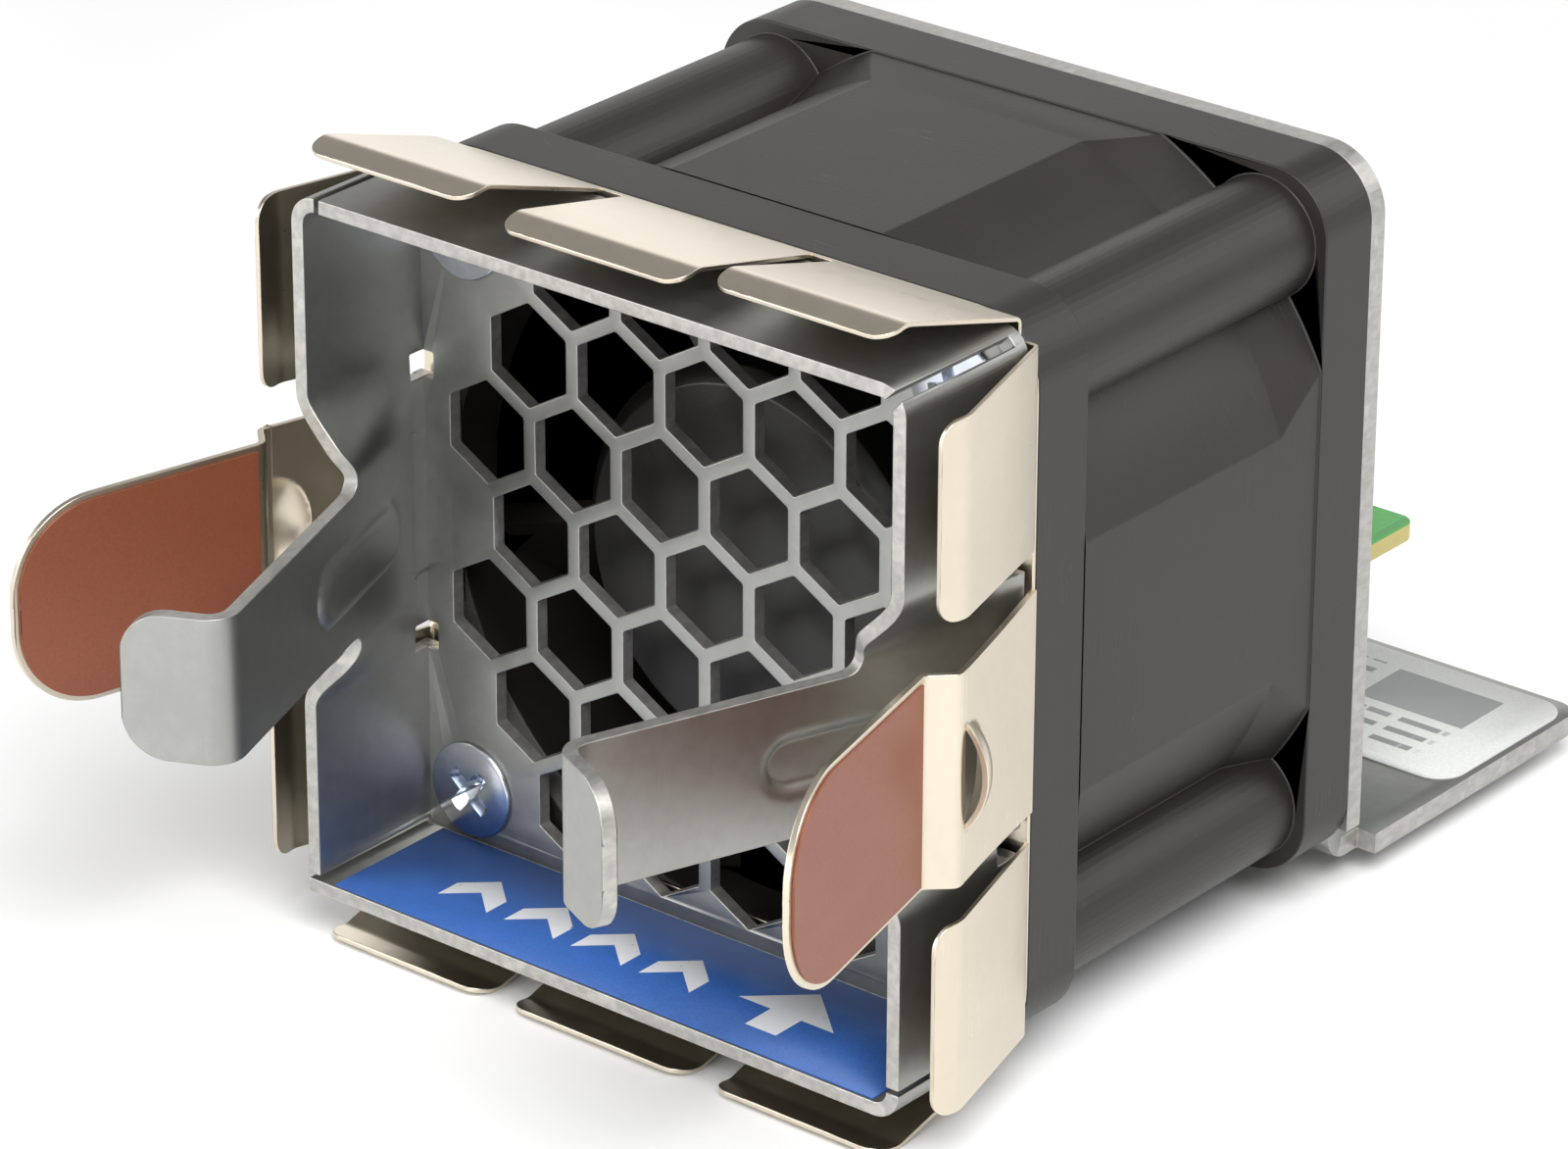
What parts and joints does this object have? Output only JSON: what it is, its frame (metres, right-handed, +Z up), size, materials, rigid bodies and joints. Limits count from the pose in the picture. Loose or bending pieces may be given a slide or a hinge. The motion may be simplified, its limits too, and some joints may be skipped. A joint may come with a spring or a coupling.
{
  "type": "server fan module",
  "caption": "Hot-swap cooling fan module: square fan behind a honeycomb intake cage with squeeze latches, contact fingers and a rear bracket carrying a plug-in board.",
  "frame": {"origin": "where the rotor's axis crosses the fan's front face, the plane the intake cage is screwed to", "axes": "+Y along the rotor's axis from the intake to the rear, +X right seen from the front, +Z up"},
  "size_m": [0.0508, 0.0788, 0.0453],
  "materials": {
    "black_plastic": "black glass-filled moulding, fine satin texture",
    "impeller_plastic": "black moulding, satin",
    "yoke_steel": "drawn steel",
    "magnet": "bonded ferrite ring",
    "shaft_steel": "ground steel",
    "clip_steel": "spring steel",
    "bearing_steel": "bearing steel",
    "tube_brass": "turned brass",
    "spring_steel": "spring wire",
    "core_steel": "laminated electrical steel",
    "winding": "enamelled copper winding",
    "board_green": "glass-epoxy board with green solder mask",
    "spring_plate": "tin-plated spring strip, pale warm silver",
    "grip_film": "terracotta film, satin",
    "zinc_sheet": "zinc-plated sheet steel, satin grey",
    "blue_label": "printed blue film with plain white arrows",
    "screw_zinc": "bright zinc-plated screw",
    "contact_gold": "gold-plated contact",
    "white_label": "white paper label with plain bars"
  },
  "bodies": {
    "module": {"front_cage": "zinc_sheet", "finger_frame": "spring_plate", "right_latch_root": "spring_plate", "left_latch_root": "spring_plate", "airflow_label": "blue_label", "front_screws": "screw_zinc", "fan_housing": "black_plastic", "front_bearing": "bearing_steel", "rear_bearing": "bearing_steel", "bearing_tube": "tube_brass", "stator_core": "core_steel", "stator_coils": "winding", "motor_board": "board_green", "rear_bracket": "zinc_sheet", "rear_screws": "screw_zinc", "connector_board": "board_green", "board_contacts": "contact_gold", "board_screws": "screw_zinc", "foot_label": "white_label"},
    "rotor": {"impeller": "impeller_plastic", "rotor_yoke": "yoke_steel", "rotor_magnet": "magnet", "shaft": "shaft_steel", "retaining_clip": "clip_steel", "preload_spring": "spring_steel"},
    "right_grip": {"right_latch": "spring_plate", "right_outer_film": "grip_film", "right_inner_film": "grip_film"},
    "left_grip": {"left_latch": "spring_plate", "left_outer_film": "grip_film", "left_inner_film": "grip_film"}
  },
  "joints": [
    {"name": "rotor_spin", "type": "hinge", "parent": "module", "child": "rotor", "pos_m": [0, 0.014, 0], "axis": [0, 1, 0], "continuous": true},
    {"name": "right_latch_flex", "type": "hinge", "parent": "module", "child": "right_grip", "pos_m": [0.0202, -0.00042, 0], "axis": [0, 0, -1], "range_deg": [0, 10], "stiffness_Nm_per_rad": 0.5},
    {"name": "left_latch_flex", "type": "hinge", "parent": "module", "child": "left_grip", "pos_m": [-0.0202, -0.00042, 0], "axis": [0, 0, 1], "range_deg": [0, 10], "stiffness_Nm_per_rad": 0.5}
  ]
}
